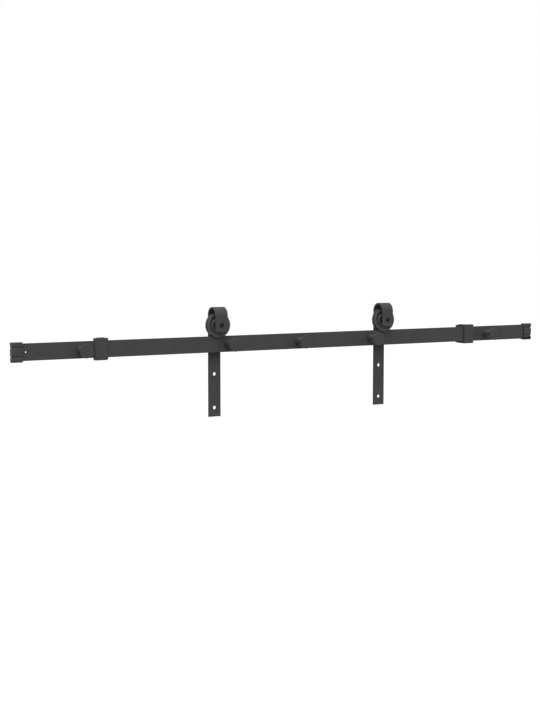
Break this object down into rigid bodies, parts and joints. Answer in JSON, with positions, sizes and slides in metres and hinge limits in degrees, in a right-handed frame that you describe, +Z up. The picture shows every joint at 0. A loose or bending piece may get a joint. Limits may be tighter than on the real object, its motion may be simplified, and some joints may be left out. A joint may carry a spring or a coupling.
{
  "type": "sliding barn door hardware",
  "caption": "Flat steel rail on flanged wall spacers, with two roller hanger straps, travel stops and ribbed end caps, for hanging a sliding door.",
  "frame": {"origin": "on the wall plane, behind the middle of the rail's length and height; it lies on the middle spacer's flange face", "axes": "+X along the rail, +Y from the wall into the room, +Z up"},
  "size_m": [1.5294, 0.0789, 0.2736],
  "materials": {
    "powder_coat": "matt black powder coat on steel",
    "wheel_coat": "matt black coat on turned steel",
    "cap_plastic": "moulded black plastic",
    "rubber": "moulded black rubber",
    "bolt_coat": "black zinc on steel fasteners",
    "bearing_steel": "ground bearing steel, lightly oiled"
  },
  "bodies": {
    "root": {"rail": "powder_coat", "spacer_1": "powder_coat", "spacer_2": "powder_coat", "spacer_3": "powder_coat", "spacer_4": "powder_coat", "spacer_5": "powder_coat", "fixing_bolt_1": "bolt_coat", "fixing_bolt_2": "bolt_coat", "fixing_bolt_3": "bolt_coat", "fixing_bolt_4": "bolt_coat", "fixing_bolt_5": "bolt_coat", "fixing_washer_1": "bolt_coat", "fixing_washer_2": "bolt_coat", "fixing_washer_3": "bolt_coat", "fixing_washer_4": "bolt_coat", "fixing_washer_5": "bolt_coat", "end_cap_left": "cap_plastic", "end_cap_right": "cap_plastic", "stop_left": "powder_coat", "stop_right": "powder_coat", "stop_bumper_left": "rubber", "stop_bumper_right": "rubber", "stop_screw_left_lower": "bolt_coat", "stop_screw_left_upper": "bolt_coat", "stop_screw_right_lower": "bolt_coat", "stop_screw_right_upper": "bolt_coat"},
    "hanger_left": {"strap_left": "powder_coat", "axle_bolt_left": "bolt_coat", "axle_washer_left": "bolt_coat", "axle_nut_left": "bolt_coat", "hub_spacer_wall_left": "bolt_coat", "hub_spacer_room_left": "bolt_coat", "bearing_inner_left": "bearing_steel"},
    "wheel_left_turning": {"wheel_left": "wheel_coat", "bearing_outer_left": "bearing_steel"},
    "balls_left": {"ball_cage_left": "bearing_steel"},
    "hanger_right": {"strap_right": "powder_coat", "axle_bolt_right": "bolt_coat", "axle_washer_right": "bolt_coat", "axle_nut_right": "bolt_coat", "hub_spacer_wall_right": "bolt_coat", "hub_spacer_room_right": "bolt_coat", "bearing_inner_right": "bearing_steel"},
    "wheel_right_turning": {"wheel_right": "wheel_coat", "bearing_outer_right": "bearing_steel"},
    "balls_right": {"ball_cage_right": "bearing_steel"}
  },
  "joints": [
    {"name": "hanger_left_slide", "type": "slide", "parent": "root", "child": "hanger_left", "axis": [1, 0, 0], "range_m": [-0.2683, 0.213]},
    {"name": "wheel_left_spin", "type": "hinge", "parent": "hanger_left", "child": "wheel_left_turning", "pos_m": [-0.2393, 0.0448, 0.0469], "axis": [0, 1, 0], "continuous": true},
    {"name": "balls_left_spin", "type": "hinge", "parent": "hanger_left", "child": "balls_left", "pos_m": [-0.2393, 0.0448, 0.0469], "axis": [0, 1, 0], "continuous": true},
    {"name": "hanger_right_slide", "type": "slide", "parent": "root", "child": "hanger_right", "axis": [1, 0, 0], "range_m": [-0.213, 0.2434]},
    {"name": "wheel_right_spin", "type": "hinge", "parent": "hanger_right", "child": "wheel_right_turning", "pos_m": [0.2552, 0.0448, 0.0469], "axis": [0, 1, 0], "continuous": true},
    {"name": "balls_right_spin", "type": "hinge", "parent": "hanger_right", "child": "balls_right", "pos_m": [0.2552, 0.0448, 0.0469], "axis": [0, 1, 0], "continuous": true}
  ],
  "couplings": [
    {"joint": "wheel_left_spin", "follows": "hanger_left_slide", "rad_per_m": 37.594},
    {"joint": "balls_left_spin", "follows": "hanger_left_slide", "rad_per_m": 23.754},
    {"joint": "wheel_right_spin", "follows": "hanger_right_slide", "rad_per_m": 37.594},
    {"joint": "balls_right_spin", "follows": "hanger_right_slide", "rad_per_m": 23.754}
  ]
}
